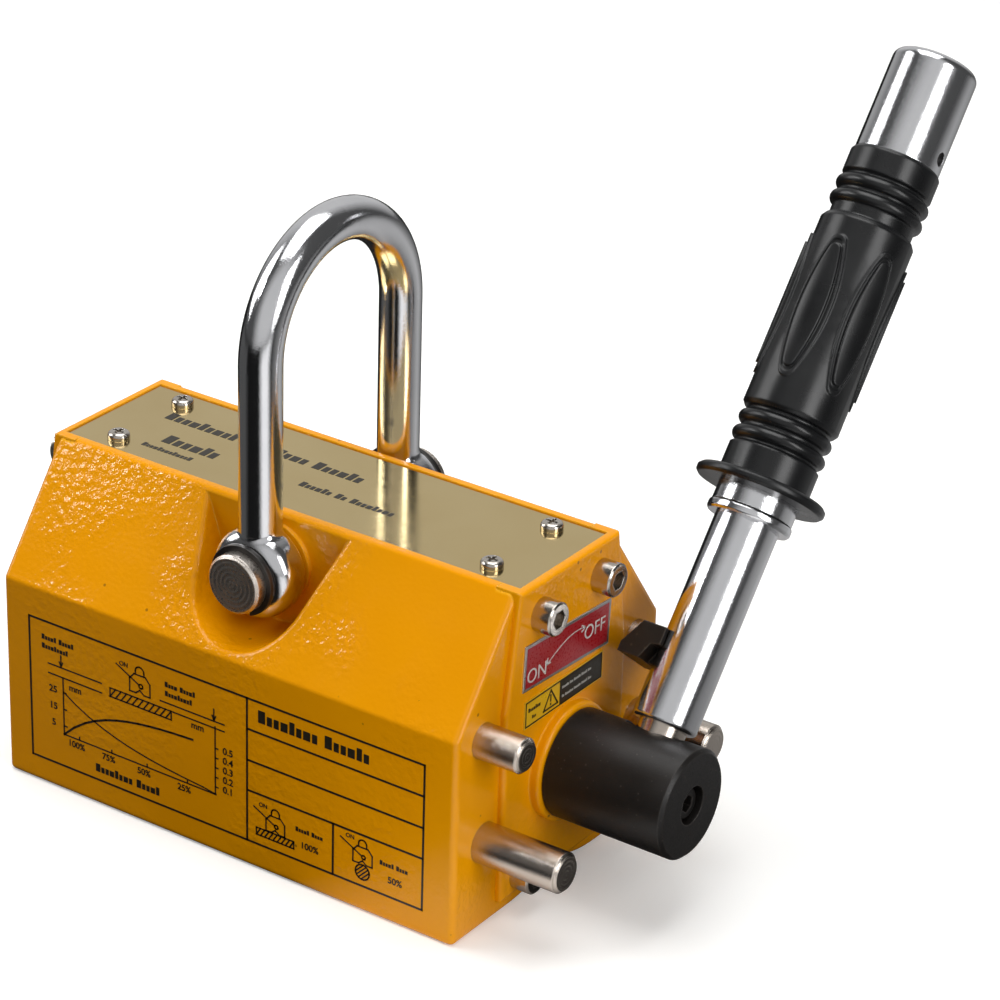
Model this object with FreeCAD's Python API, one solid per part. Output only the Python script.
# Permanent lifting magnet with a turning lever, 300 kg class.
# Millimetres. Origin on the plane of the two pole faces, at the middle of the body.
# +Z up, +X towards the lever end, -Y towards the long side with the data panel.
import FreeCAD, Part
import math
import os

from FreeCAD import Vector

os.makedirs("parts", exist_ok=True)

# Body
body_length = 155.0
body_width = 96.0
body_height = 96.0
shoulder_height = 61.8
crown_width = 46.0
edge_round = 1.8
pole_gap = 12.0
pole_flat = 27.0
pole_curve = 47.0
sole_clearance = 5.0

# Rotor
rotor_height = 36.8
rotor_bore = 54.0
rotor_gap = 0.4
rotor_magnet_thickness = 18.0
rotor_magnet_width = 36.0
flange_thickness = 8.0
washer_thickness = 1.2
washer_diameter = 34.0
journal_diameter = 20.0
rear_journal_diameter = 16.0
hub_shaft_diameter = 18.0
end_float = 0.15
running_clearance = 0.05

# End plates
plate_thickness = 8.0
plate_proud = 2.0
plate_top_width = 46.6
plate_low_width = 56.8
boss_diameter = 34.0
boss_height = 3.0
bush_wall = 3.0
end_screw_high_spacing = 28.0
end_screw_high = 86.7
end_screw_low_spacing = 40.0
end_screw_low = 11.0

# Nameplate
nameplate_end_lip = 2.5
nameplate_width = 41.0
nameplate_thickness = 1.2
nameplate_depth = 1.6
nameplate_screw_inset = 13.5
nameplate_screw_y = 14.0
label_thickness = 0.4
switch_label_width = 40.6
switch_label_height = 13.4
label_tilt = -3.0
caution_label_width = 37.0
caution_label_height = 8.2

# Pins in the lever end
lock_pin_diameter = 10.0
lock_pin_reach = 14.0
lock_pin_side = 36.2
lock_pin_height = 58.0
stop_pin_diameter = 11.5
stop_pin_reach = 26.5
stop_pin_side = 34.6
stop_pin_height = 26.5
off_stop_side = 37.4
off_stop_height = 32.2
pin_depth = 18.0

# Shackle
shackle_pin_height = 81.5
shackle_rod = 12.0
shackle_leg_spacing = 62.0
shackle_top = 178.0
eye_diameter = 26.0
eye_round = 4.8
neck_round = 2.4
eye_swell = 0.3
shackle_pin_diameter = 17.0
shackle_pin_tail = 3.75
pocket_radius = 18.3
pocket_mouth = 48.0
eye_room = 1.2
pocket_round = 1.6
pocket_boss = 23.0
side_play = 0.35
seat_height = 1.0
ring_thickness = 1.5

# Lever
lever_lean = 39.66
hub_diameter = 31.0
hub_length = 37.4
hub_gap = 0.3
lever_forward = 23.85
stud_diameter = 13.5
stud_foot = 5.0
stud_top = 24.5
tube_diameter = 18.2
tube_bore = 12.4
tube_foot = 17.2
tube_top = 151.0
push_rod_diameter = 12.0
push_rod_foot = 31.2
slide_travel = 6.0

# Safety key
key_low = 31.4
key_high = 41.4
key_tongue = 6.0
key_width = 18.6
key_reach = 16.85
slot_clearance = 0.2

# Grip
sleeve_diameter = 23.0
sleeve_head = 24.4
sleeve_lip = 24.0
set_screw_rise = 4.2
sleeve_foot = 76.5
sleeve_top = 214.5
sleeve_cap = 28.5
grip_foot = 84.6
grip_top = 184.0
grip_flange = 37.0
grip_barrel = 27.0
grip_collar = 25.8
ring_radius = 1.9
land_count = 6
land_width = 10.4
land_low = 26.4
land_high = 22.6
rim_width = 0.75
rim_height = 0.7
pad_height = 1.2
spring_wire = 2.0
spring_coils = 6
seat_thickness = 2.0

half_length = body_length / 2
pocket_floor = (shackle_leg_spacing - shackle_rod) / 2 - eye_room
eye_thickness = shackle_rod + 2 * eye_swell
eye_inner = pocket_floor + seat_height + side_play
ring_seat = eye_inner + eye_thickness + side_play
shackle_pin_end = ring_seat + ring_thickness + shackle_pin_tail
plate_face = half_length + plate_proud
plate_inner = plate_face - plate_thickness
nameplate_length = 2 * (plate_face - nameplate_end_lip)
nameplate_screw_x = nameplate_length / 2 - nameplate_screw_inset
lever_centre = plate_face + lever_forward
crown_half = crown_width / 2
hub_start = plate_face + boss_height + hub_gap
flange_face = plate_inner - washer_thickness - end_float
core_half = flange_face - flange_thickness
rotor_radius = rotor_bore / 2 - rotor_gap


def block(x0, x1, y0, y1, z0, z1):
    return Part.makeBox(x1 - x0, y1 - y0, z1 - z0, Vector(x0, y0, z0))


def bar(diameter, start, end):
    """A round bar from one centre point to another."""
    run = Vector(*end) - Vector(*start)
    return Part.makeCylinder(diameter / 2, run.Length, Vector(*start), run)


def x_bar(diameter, x0, x1, y=0.0, z=rotor_height):
    return bar(diameter, (x0, y, z), (x1, y, z))


def ring(outer, inner, x0, x1, y=0.0, z=rotor_height):
    return x_bar(outer, x0, x1, y, z).cut(x_bar(inner, x0, x1, y, z))


def flat_shape(points):
    corners = [Vector(*point) for point in points]
    return Part.Face(Part.makePolygon(corners + corners[:1]))


def edges_where(shape, test):
    """The edges whose middle point passes a test."""
    chosen = []
    for edge in shape.Edges:
        middle = edge.valueAt((edge.FirstParameter + edge.LastParameter) / 2)
        if test(middle):
            chosen.append(edge)
    return chosen


def both_sides(shape):
    """The shape and its mirror image across the long middle plane."""
    return [shape, shape.mirror(Vector(0, 0, 0), Vector(0, 1, 0))]


def save(name, shapes):
    group = shapes if isinstance(shapes, list) else [shapes]
    shape = group[0] if len(group) == 1 else Part.makeCompound(group)
    shape.exportStep("parts/" + name + ".step")


# Yokes: two steel pole halves, machined from one bar section.


def pole_underside(side):
    """The pole flat, then an arc that lifts towards the gap."""
    flat_inner = body_width / 2 - pole_flat
    gap_half = pole_gap / 2

    def lift(y):
        return pole_curve - math.sqrt(pole_curve**2 - (flat_inner - y) ** 2)

    middle = (flat_inner + gap_half) / 2
    start = Vector(side, flat_inner, 0)
    end = Vector(side, gap_half, lift(gap_half))
    return Part.Arc(start, Vector(side, middle, lift(middle)), end).toShape()


def far_yoke_bar():
    end = -half_length
    gap_half = pole_gap / 2
    curve = pole_underside(end)
    points = [
        curve.Vertexes[-1].Point,
        Vector(end, gap_half, body_height),
        Vector(end, crown_half, body_height),
        Vector(end, body_width / 2, shoulder_height),
        Vector(end, body_width / 2, 0),
        curve.Vertexes[0].Point,
    ]
    lines = [Part.makeLine(a, b) for a, b in zip(points, points[1:])]
    outline = Part.Wire(Part.__sortEdges__([curve] + lines))
    solid = Part.Face(outline).extrude(Vector(body_length, 0, 0))

    def outer(point):
        on_end = abs(abs(point.x) - half_length) < 0.01
        long_edge = abs(point.x) < 0.01 and point.y > crown_half - 0.01
        long_edge = long_edge and abs(point.y - (body_width / 2 - pole_flat)) > 0.01
        return point.y > gap_half + 0.01 and (on_end or long_edge)

    return solid.makeFillet(edge_round, edges_where(solid, outer))


def plate_blank(x0, x1):
    """The end plate's outline between two stations."""
    top = plate_top_width / 2
    low = plate_low_width / 2
    corners = [
        (x0, -low, sole_clearance),
        (x0, low, sole_clearance),
        (x0, low, shoulder_height),
        (x0, top, body_height),
        (x0, -top, body_height),
        (x0, -low, shoulder_height),
    ]
    return flat_shape(corners).extrude(Vector(x1 - x0, 0, 0))


def shackle_pocket():
    """A cradle round the pin axis whose sides open upwards to the crown."""
    mouth = pocket_mouth / 2
    rise = body_height - shackle_pin_height
    reach = math.hypot(mouth, rise)
    angle = math.atan2(rise, mouth) - math.acos(pocket_radius / reach)
    side_x = pocket_radius * math.cos(angle)
    side_z = shackle_pin_height + pocket_radius * math.sin(angle)
    above = 10.0
    flare = (mouth - side_x) / (body_height - side_z) * above
    y = pocket_floor
    bottom = Vector(0, y, shackle_pin_height - pocket_radius)
    left = Vector(-side_x, y, side_z)
    right = Vector(side_x, y, side_z)
    top_left = Vector(-mouth - flare, y, body_height + above)
    top_right = Vector(mouth + flare, y, body_height + above)
    edges = [
        Part.Arc(left, bottom, right).toShape(),
        Part.makeLine(right, top_right),
        Part.makeLine(top_right, top_left),
        Part.makeLine(top_left, left),
    ]
    return Part.Face(Part.Wire(edges)).extrude(Vector(0, body_width, 0))


def far_yoke():
    yoke = far_yoke_bar().cut(shackle_pocket())

    def pocket_rim(point):
        near = abs(point.x) < pocket_mouth / 2 + 1 and point.y > pocket_floor + 0.2
        slope = (body_width / 2 - crown_half) / (body_height - shoulder_height)
        face_y = crown_half + (body_height - point.z) * slope
        on_slope = abs(point.y - face_y) < 0.05
        return near and on_slope and point.z > shoulder_height + 0.5

    yoke = yoke.makeFillet(pocket_round, edges_where(yoke, pocket_rim))
    seat_y = pocket_floor + seat_height
    seat = (0, pocket_floor - 2, shackle_pin_height)
    yoke = yoke.fuse(bar(pocket_boss, seat, (0, seat_y, shackle_pin_height)))
    pin_hole = bar(
        shackle_pin_diameter,
        (0, pole_gap / 2 + 2, shackle_pin_height),
        (0, body_width, shackle_pin_height),
    )
    yoke = yoke.cut(pin_hole)
    yoke = yoke.cut(x_bar(rotor_bore, -half_length, half_length))
    for side in (-1, 1):
        ends = sorted([side * plate_inner, side * (plate_face + 1)])
        yoke = yoke.cut(plate_blank(*ends))
    recess_top = body_height + 1
    recess = block(
        -half_length,
        half_length,
        -nameplate_width / 2,
        nameplate_width / 2,
        body_height - nameplate_depth,
        recess_top,
    )
    return yoke.cut(recess)


def drill_yoke(yoke, side, stop_side, stop_height):
    """The blind holes of one yoke; side is -1 near and +1 far."""
    hole_x = half_length - pin_depth
    tools = [
        x_bar(lock_pin_diameter, hole_x, half_length + 1, side * lock_pin_side, lock_pin_height),
        x_bar(stop_pin_diameter, hole_x, half_length + 1, side * stop_side, stop_height),
    ]
    tools += end_screws() + nameplate_screws()
    for tool in tools:
        yoke = yoke.cut(tool)
    return yoke


# Screws


def cap_screw(diameter, head, head_height, length):
    """A socket head cap screw along +X with its head seat at the origin."""
    screw = bar(diameter, (-length, 0, 0), (0.1, 0, 0))
    top = bar(head, (0, 0, 0), (head_height, 0, 0))
    top = top.makeChamfer(0.5, edges_where(top, lambda p: abs(p.x - head_height) < 0.01))
    across = head * 0.5
    corners = []
    for corner in range(6):
        turn = math.radians(60 * corner)
        y = across / math.sqrt(3) * math.cos(turn)
        z = across / math.sqrt(3) * math.sin(turn)
        corners.append((head_height - head * 0.32, y, z))
    socket = flat_shape(corners).extrude(Vector(head_height, 0, 0))
    return screw.fuse(top).cut(socket).removeSplitter()


def moved(shape, x, y, z):
    copy = shape.copy()
    copy.translate(Vector(x, y, z))
    return copy


def end_screws():
    screw = cap_screw(6.0, 9.6, 5.8, plate_thickness + 10)
    rows = ((end_screw_high_spacing, end_screw_high), (end_screw_low_spacing, end_screw_low))
    screws = []
    for spacing, z in rows:
        for front in both_sides(moved(screw, plate_face, spacing / 2, z)):
            screws.append(front)
            screws.append(front.mirror(Vector(0, 0, 0), Vector(1, 0, 0)))
    return screws


def nameplate_screws():
    """Pan head screws with a cross recess."""
    seat = body_height - nameplate_depth + nameplate_thickness
    screws = []
    for x in (-nameplate_screw_x, nameplate_screw_x):
        for y in (-nameplate_screw_y, nameplate_screw_y):
            shank = bar(3.5, (x, y, seat - 5), (x, y, seat + 0.1))
            head = bar(6.4, (x, y, seat), (x, y, seat + 2.2))
            head = head.makeFillet(1.3, edges_where(head, lambda p: p.z > seat + 2.1))
            screw = shank.fuse(head).removeSplitter()
            for width, depth in ((3.6, 0.9), (0.9, 3.6)):
                slot = block(
                    x - width / 2,
                    x + width / 2,
                    y - depth / 2,
                    y + depth / 2,
                    seat + 1.0,
                    seat + 3,
                )
                screw = screw.cut(slot)
            screws.append(screw)
    return screws


def build_body():
    far = far_yoke()
    near = far.mirror(Vector(0, 0, 0), Vector(0, 1, 0))
    save("far_pole_yoke", drill_yoke(far, 1, off_stop_side, off_stop_height))
    save("near_pole_yoke", drill_yoke(near, -1, stop_pin_side, stop_pin_height))

    gap_half = pole_gap / 2
    recess_floor = body_height - nameplate_depth
    magnet_low = rotor_height + rotor_bore / 2 + 1.5
    magnet_high = recess_floor - 12
    spacer = block(-plate_inner, plate_inner, -gap_half, gap_half, magnet_high, recess_floor)
    save("top_spacer_bar", spacer)

    bore = x_bar(rotor_bore, -half_length, half_length)
    strip = block(-plate_inner, plate_inner, -gap_half, gap_half, sole_clearance, rotor_height)
    save("bottom_gap_strip", strip.cut(bore))

    magnet_count = 6
    pitch = 2 * plate_inner / magnet_count
    magnets = []
    for index in range(magnet_count):
        x = -plate_inner + index * pitch + 0.25
        magnets.append(
            block(x, x + pitch - 0.5, -gap_half, gap_half, magnet_low, magnet_high)
        )
    save("fixed_magnets", magnets)

    bed = block(
        -nameplate_length / 2,
        nameplate_length / 2,
        -nameplate_width / 2,
        nameplate_width / 2,
        recess_floor,
        recess_floor + nameplate_thickness,
    )
    for screw in nameplate_screws():
        bed = bed.cut(screw)
    save("nameplate", bed)
    save("nameplate_screws", nameplate_screws())
    save("end_plate_screws", end_screws())


def end_plate(side):
    inner = side * plate_inner
    outer = side * plate_face
    plate = plate_blank(*sorted([inner, outer]))
    rim = edges_where(plate, lambda p: abs(p.x - outer) < 0.01)
    plate = plate.makeFillet(1.2, rim)
    bed = block(
        -nameplate_length / 2,
        nameplate_length / 2,
        -nameplate_width / 2,
        nameplate_width / 2,
        body_height - nameplate_depth,
        body_height + 1,
    )
    plate = plate.cut(bed)
    for screw in end_screws():
        plate = plate.cut(screw)
    return plate


def build_end_plates():
    boss_face = plate_face + boss_height
    boss = x_bar(boss_diameter, plate_face - 1, boss_face)
    boss = boss.makeFillet(1.0, edges_where(boss, lambda p: abs(p.x - boss_face) < 0.01))
    front = end_plate(1).fuse(boss)
    front_seat = journal_diameter + 2 * bush_wall
    save("front_end_plate", front.cut(x_bar(front_seat, plate_inner, boss_face)).removeSplitter())
    rear_seat = rear_journal_diameter + 2 * bush_wall
    rear_depth = plate_thickness - 2
    rear_bore = x_bar(rear_seat, -plate_inner - rear_depth, -plate_inner)
    save("rear_end_plate", end_plate(-1).cut(rear_bore))

    fit = 2 * running_clearance
    save("front_bush", ring(front_seat, journal_diameter + fit, plate_inner, boss_face))
    rear_fit = rear_journal_diameter + fit
    save("rear_bush", ring(rear_seat, rear_fit, -plate_inner - rear_depth, -plate_inner))
    front_washer = ring(
        washer_diameter, journal_diameter + 1, plate_inner - washer_thickness, plate_inner
    )
    save("thrust_washers", [front_washer, front_washer.mirror(Vector(0, 0, 0), Vector(1, 0, 0))])


def face_label(width, height, y, z, tilt):
    label = block(0, label_thickness, -width / 2, width / 2, -height / 2, height / 2)
    label.rotate(Vector(0, 0, 0), Vector(1, 0, 0), tilt)
    label.translate(Vector(plate_face, y, z))
    return label


def build_labels():
    switch = face_label(switch_label_width, switch_label_height, -1.2, 72.0, label_tilt)
    save("on_off_label", switch)
    caution = face_label(caution_label_width, caution_label_height, -2.2, 58.9, 0.0)
    save("caution_label", caution)


def tipped_pin(diameter, x0, x1, y, z):
    pin = x_bar(diameter, x0, x1, y, z)
    return pin.makeChamfer(1.0, edges_where(pin, lambda p: abs(p.x - x1) < 0.01))


def build_pins():
    foot = half_length - pin_depth
    lock_end = half_length + lock_pin_reach
    stop_end = half_length + stop_pin_reach
    lock = tipped_pin(lock_pin_diameter, foot, lock_end, lock_pin_side, lock_pin_height)
    save("lock_pins", both_sides(lock))
    on_stop = tipped_pin(stop_pin_diameter, foot, stop_end, -stop_pin_side, stop_pin_height)
    off_stop = tipped_pin(stop_pin_diameter, foot, stop_end, off_stop_side, off_stop_height)
    save("stop_pins", [on_stop, off_stop])


# Shackle, its pins and rings


def y_bar(diameter, y0, y1):
    return bar(diameter, (0, y0, shackle_pin_height), (0, y1, shackle_pin_height))


def forged_leg(leg_y, leg_top):
    """One straight leg and its rounded eye, with a soft forged neck between them."""
    leg = bar(shackle_rod, (0, leg_y, shackle_pin_height), (0, leg_y, leg_top))
    eye = y_bar(eye_diameter, eye_inner, eye_inner + eye_thickness)
    rims = [edge for edge in eye.Edges if len(edge.Vertexes) == 1]
    lug = leg.fuse(eye.makeFillet(eye_round, rims))
    rod = shackle_rod / 2

    def at_neck(point):
        on_leg = abs(math.hypot(point.x, point.y - leg_y) - rod) < 0.15
        above = point.z - shackle_pin_height
        return on_leg and eye_diameter / 4 < above < eye_diameter / 2 + 1

    necks = [edge for edge in edges_where(lug, at_neck) if edge.Length > 0.5]
    bore = shackle_pin_diameter + 2 * running_clearance
    return lug.makeFillet(neck_round, necks).cut(y_bar(bore, 0, body_width))


def build_shackle():
    leg_y = shackle_leg_spacing / 2
    bow_height = shackle_top - shackle_rod / 2 - leg_y
    hoop = Part.makeTorus(leg_y, shackle_rod / 2, Vector(0, 0, bow_height), Vector(1, 0, 0))
    reach = leg_y + shackle_rod
    shackle = hoop.common(block(-reach, reach, -reach, reach, bow_height, bow_height + reach))
    near_leg = forged_leg(leg_y, bow_height)
    far_leg = near_leg.copy()
    far_leg.rotate(Vector(0, 0, 0), Vector(0, 0, 1), 180)
    save("shackle", shackle.fuse(near_leg).fuse(far_leg).removeSplitter())

    pin = y_bar(shackle_pin_diameter, pole_gap / 2 + 2, shackle_pin_end)
    pin = pin.makeChamfer(0.8, edges_where(pin, lambda p: abs(p.y - shackle_pin_end) < 0.01))
    ring_end = ring_seat + ring_thickness
    groove = y_bar(shackle_pin_diameter + 4, ring_seat, ring_end)
    core = y_bar(shackle_pin_diameter - 2, ring_seat, ring_end)
    pin = pin.cut(groove.cut(core))
    save("shackle_pins", both_sides(pin))

    snap = y_bar(shackle_pin_diameter + 3.2, ring_seat, ring_end).cut(core)
    low_edge = shackle_pin_height - shackle_pin_diameter
    mouth = block(-3.0, 3.0, ring_seat - 1, ring_end + 1, low_edge, shackle_pin_height)
    save("retaining_rings", both_sides(snap.cut(mouth)))


# Rotor and hub. The lever is drawn upright over the hub, then leaned over.


def leaned(shape):
    copy = shape.copy()
    copy.rotate(Vector(0, 0, rotor_height), Vector(1, 0, 0), -lever_lean)
    return copy


def lever_bar(diameter, low, high):
    """A bar on the lever's axis between two distances from the hub's axis."""
    foot = (lever_centre, 0, rotor_height + low)
    return bar(diameter, foot, (lever_centre, 0, rotor_height + high))


def lever_block(x0, x1, half_width, low, high):
    return block(x0, x1, -half_width, half_width, rotor_height + low, rotor_height + high)


def save_leaned(name, shapes):
    group = shapes if isinstance(shapes, list) else [shapes]
    save(name, [leaned(shape) for shape in group])


def build_rotor():
    core = x_bar(2 * rotor_radius, -core_half, core_half)
    slab_half = rotor_magnet_thickness / 2
    magnet_half = rotor_magnet_width / 2
    low = rotor_height - slab_half
    high = rotor_height + slab_half
    slab = block(-core_half, core_half, -60, 60, low, high)
    upper = core.cut(slab).common(block(-core_half, core_half, -60, 60, high, high + 60))
    lower = core.cut(slab).common(block(-core_half, core_half, -60, 60, low - 60, low))

    screw_places = []
    for turn in (55, 125, 235, 305):
        reach = rotor_radius - 7
        y = reach * math.cos(math.radians(turn))
        z = reach * math.sin(math.radians(turn))
        screw_places.append((y, rotor_height + z))
    screws = []
    for y, z in screw_places:
        screw = moved(cap_screw(5.0, 8.5, 5.0, 22), flange_face - 5.2, y, z)
        screws.append(screw)
        screws.append(screw.mirror(Vector(0, 0, 0), Vector(1, 0, 0)))
    heads = [x_bar(8.8, flange_face - 5.2, flange_face + 1, y, z) for y, z in screw_places]

    for screw in screws:
        upper = upper.cut(screw)
        lower = lower.cut(screw)
    save_leaned("rotor_poles", [upper, lower])

    count = 5
    pitch = 2 * core_half / count
    magnets = []
    for index in range(count):
        x = -core_half + index * pitch + 0.25
        magnets.append(block(x, x + pitch - 0.5, -magnet_half, magnet_half, low, high))
    save_leaned("rotor_magnets", magnets)

    side = core.common(block(-core_half, core_half, magnet_half, 60, low, high))
    save_leaned("rotor_side_bars", both_sides(side))
    save_leaned("rotor_screws", screws)

    front = x_bar(2 * rotor_radius, core_half, flange_face)
    front = front.fuse(x_bar(journal_diameter, flange_face, hub_start - hub_gap))
    shaft_end = hub_start + 12.5
    front = front.fuse(x_bar(hub_shaft_diameter, hub_start - hub_gap, shaft_end))
    rear_end = -plate_inner - plate_thickness + 2.5
    rear = x_bar(2 * rotor_radius, -flange_face, -core_half)
    rear = rear.fuse(x_bar(rear_journal_diameter, rear_end, -flange_face))
    for head in heads:
        front = front.cut(head)
        rear = rear.cut(head.mirror(Vector(0, 0, 0), Vector(1, 0, 0)))
    for screw in screws:
        front = front.cut(screw)
        rear = rear.cut(screw)

    key_half = 2.5
    key_foot = rotor_height - hub_shaft_diameter / 2 - 2
    key_top = key_foot + 2 * key_half
    key = block(hub_start + 1, shaft_end - 1, -key_half, key_half, key_foot, key_top)
    hub_end = hub_start + hub_length
    hub_screw = moved(cap_screw(6.0, 9.0, 5.0, hub_length - 16), hub_end - 6.5, 0, rotor_height)

    hub = x_bar(hub_diameter, hub_start, hub_end)
    hub = hub.makeChamfer(1.0, edges_where(hub, lambda p: abs(p.x - hub_end) < 0.01))
    hub = hub.cut(x_bar(hub_shaft_diameter, hub_start, shaft_end))
    hub = hub.cut(key)
    hub = hub.cut(x_bar(11.0, hub_end - 6.5, hub_end + 1))
    hub = hub.cut(hub_screw)
    spot_face = lever_bar(stud_diameter + 6, hub_diameter / 2 - 1.2, hub_diameter)
    hub = hub.cut(spot_face)
    hub = hub.cut(lever_bar(stud_diameter, stud_foot, hub_diameter))
    save_leaned("handle_hub", hub)
    save_leaned("front_shaft", front.cut(key).cut(hub_screw).removeSplitter())
    save_leaned("rear_shaft", rear.removeSplitter())
    save_leaned("drive_key", key)
    save_leaned("hub_screw", hub_screw)


def build_lever():
    stud = lever_bar(stud_diameter, stud_foot, stud_top)
    save_leaned("lever_stud", stud)

    tube = lever_bar(tube_diameter, tube_foot, tube_top)
    rims = edges_where(tube, lambda p: abs(p.z - rotor_height - tube_foot) < 0.01)
    tube = tube.makeFillet(1.2, rims)
    tube = tube.cut(lever_bar(tube_bore, tube_foot, tube_top))
    tube = tube.cut(stud)
    slot_low = key_low - slide_travel - slot_clearance
    slot = lever_block(
        lever_centre - tube_diameter,
        lever_centre,
        key_tongue / 2 + slot_clearance,
        slot_low,
        key_high + slot_clearance,
    )
    save_leaned("lever_tube", tube.cut(slot))


def safety_key():
    """A claw whose saddle hugs the tube and whose tongue enters its slot."""
    nose_x = lever_centre - key_reach
    saddle_x = lever_centre - 5.6
    half = key_width / 2
    profile = [
        (saddle_x, -half, rotor_height + key_high),
        (nose_x + 4.2, -half, rotor_height + key_high),
        (nose_x, -half, rotor_height + key_low + 2.6),
        (nose_x, -half, rotor_height + key_low),
        (nose_x + 6.6, -half, rotor_height + key_low),
        (nose_x + 8.6, -half, rotor_height + key_low + 4.6),
        (saddle_x, -half, rotor_height + key_low + 5.0),
    ]
    claw = flat_shape(profile).extrude(Vector(0, key_width, 0))
    tube_room = tube_diameter + 2 * slot_clearance
    claw = claw.cut(lever_bar(tube_room, key_low - 1, key_high + 1))
    tongue = lever_block(
        lever_centre - tube_diameter / 2 - 1,
        lever_centre + 2,
        key_tongue / 2,
        key_low + 0.2,
        key_high - 0.2,
    )
    return claw.fuse(tongue).removeSplitter()


def grip_body():
    """The moulded grip: a turned form, four rounded rings, then six raised lands."""
    sleeve = sleeve_diameter / 2
    barrel = grip_barrel / 2
    groove = barrel - 1.6
    collar = grip_collar / 2
    flange = grip_flange / 2
    outline = [
        (sleeve, grip_foot),
        (flange - 0.8, grip_foot),
        (flange, grip_foot + 0.8),
        (flange, grip_foot + 2.0),
        (flange - 0.8, grip_foot + 2.8),
        (collar, grip_foot + 3.2),
        (collar, grip_foot + 11.0),
        (groove, grip_foot + 11.8),
        (groove, grip_foot + 21.6),
        (barrel - 0.5, grip_foot + 21.9),
        (barrel + 0.3, grip_foot + 23.0),
        (barrel, grip_top - 21.4),
        (barrel - 0.8, grip_top - 20.2),
        (groove, grip_top - 20.0),
        (groove, grip_top - 7.9),
        (collar, grip_top - 7.2),
        (collar, grip_top - 0.8),
        (collar - 0.6, grip_top),
        (sleeve, grip_top),
    ]
    points = [(lever_centre + radius, 0, rotor_height + r) for radius, r in outline]
    axis_point = Vector(lever_centre, 0, 0)
    up = Vector(0, 0, 1)
    grip = flat_shape(points).revolve(axis_point, up, 360)

    ring_places = [grip_foot + 14.2, grip_foot + 18.9, grip_top - 14.9, grip_top - 10.3]
    for place in ring_places:
        centre = Vector(lever_centre, 0, rotor_height + place)
        grip = grip.fuse(Part.makeTorus(barrel - ring_radius - 0.1, ring_radius, centre, up))
    for index in range(land_count):
        land = grip_land()
        land.rotate(axis_point, up, (index + 0.5) * 360 / land_count)
        grip = grip.fuse(land)
    bore = lever_bar(sleeve_diameter, grip_foot - 1, grip_top + 1)
    return grip.cut(bore).removeSplitter()


def almond_column(half_width, inset):
    """A radial column whose section is a long almond with rounded ends."""
    low = rotor_height + grip_foot + land_low + inset
    high = rotor_height + grip_top - land_high - inset
    x = lever_centre + sleeve_diameter / 2 - 0.5
    middle = (low + high) / 2
    bottom = Vector(x, 0, low)
    top = Vector(x, 0, high)
    edges = [
        Part.Arc(bottom, Vector(x, half_width, middle), top).toShape(),
        Part.Arc(top, Vector(x, -half_width, middle), bottom).toShape(),
    ]
    column = Part.Face(Part.Wire(edges)).extrude(Vector(8, 0, 0))
    tips = edges_where(column, lambda p: min(abs(p.z - low), abs(p.z - high)) < 0.01)
    tips = [edge for edge in tips if abs(edge.Length - 8) < 0.01]
    return column.makeFillet(half_width * 0.45, tips)


def grip_land():
    """One land: a low rim, a groove inside it and a higher pad in the middle."""
    barrel = grip_barrel / 2
    low = grip_foot + land_low
    high = grip_top - land_high
    rim_top = lever_bar(2 * (barrel + rim_height), low, high)
    pad_top = lever_bar(2 * (barrel + pad_height), low, high)
    groove_floor = lever_bar(2 * (barrel + 0.25), low, high)
    rim = almond_column(land_width / 2, 0)
    groove = almond_column(land_width / 2 - rim_width, 2 * rim_width)
    pad = almond_column(land_width / 2 - 2 * rim_width, 4 * rim_width)
    land = rim.cut(groove).common(rim_top)
    return land.fuse(groove.common(groove_floor)).fuse(pad.common(pad_top))


def wound_coil(foot, pitch, radius):
    """Half hoops tipped one way and then the other, so that each meets the next smoothly."""
    tip = math.degrees(math.asin(pitch / 4 / radius))
    half_turn = Part.makeTorus(radius, spring_wire / 2, Vector(), Vector(0, 0, 1), 0, 360, 180)
    half_turn.rotate(Vector(), Vector(0, 1, 0), tip)
    coil = None
    for index in range(2 * spring_coils):
        hoop = half_turn.copy()
        hoop.rotate(Vector(), Vector(0, 0, 1), 180 * index)
        rise = rotor_height + foot + pitch / 4 + index * pitch / 2
        hoop.translate(Vector(lever_centre, 0, rise))
        coil = hoop if coil is None else coil.fuse(hoop)
    return coil


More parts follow.
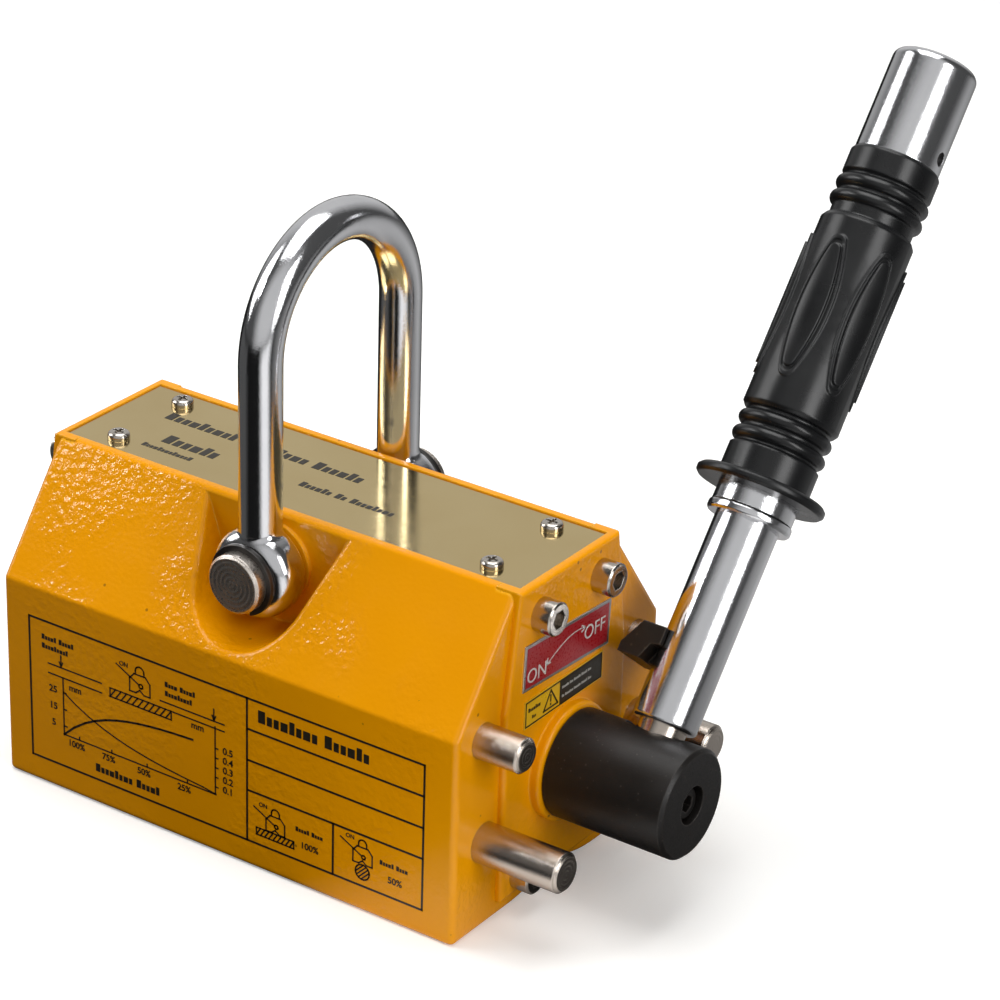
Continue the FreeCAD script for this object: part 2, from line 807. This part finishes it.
def build_slider():
    pin_z = rotor_height + (key_low + key_high) / 2
    reach = push_rod_diameter / 2 - 0.3
    key_pin = bar(3.0, (lever_centre, -reach, pin_z), (lever_centre, reach, pin_z))
    rod_top = sleeve_top - 6.0
    rod = lever_bar(push_rod_diameter, push_rod_foot, rod_top)
    rod_slot = lever_block(
        lever_centre - push_rod_diameter,
        lever_centre + 2,
        key_tongue / 2,
        key_low + 0.2,
        key_high - 0.2,
    )
    save_leaned("safety_key", safety_key().cut(key_pin))
    save_leaned("key_pin", key_pin)

    head = lever_bar(sleeve_head, grip_top, sleeve_top)
    top_rim = edges_where(head, lambda p: p.z > rotor_height + sleeve_top - 0.01)
    head = head.makeFillet(2.6, top_rim)
    lip = lever_bar(sleeve_lip, sleeve_foot, sleeve_foot + 3.0)
    lip = lip.makeFillet(1.0, [edge for edge in lip.Edges if len(edge.Vertexes) == 1])
    sleeve = lever_bar(sleeve_diameter, sleeve_foot, grip_top).fuse(head).fuse(lip)
    sleeve = sleeve.removeSplitter()
    bore = tube_diameter + 2 * running_clearance
    sleeve = sleeve.cut(lever_bar(bore, sleeve_foot, sleeve_top - sleeve_cap))
    sleeve = sleeve.cut(lever_bar(push_rod_diameter, sleeve_foot, rod_top))
    screw_z = rotor_height + grip_top + set_screw_rise
    screw_start = (lever_centre + 3.0, 0, screw_z)
    screw_end = (lever_centre + sleeve_head / 2 - 2.0, 0, screw_z)
    set_screw = bar(4.0, screw_start, screw_end)
    screw_hole = bar(4.0, screw_start, (lever_centre + 20, 0, screw_z))
    save_leaned("grip_sleeve", sleeve.cut(screw_hole))
    save_leaned("grip_set_screw", set_screw)
    save_leaned("push_rod", rod.cut(rod_slot).cut(key_pin).cut(screw_hole))
    save_leaned("hand_grip", grip_body())

    seat_low = sleeve_top - sleeve_cap - seat_thickness
    seat = lever_bar(bore, seat_low, seat_low + seat_thickness)
    save_leaned("spring_seat", seat.cut(lever_bar(push_rod_diameter, seat_low, sleeve_top)))

    spring_length = seat_low - tube_top
    coil_radius = push_rod_diameter / 2 + spring_wire / 2 + 0.4
    pitch = (spring_length - spring_wire) / spring_coils
    save_leaned("return_spring", wound_coil(tube_top + spring_wire / 2, pitch, coil_radius))


build_body()
build_end_plates()
build_labels()
build_pins()
build_shackle()
build_rotor()
build_lever()
build_slider()
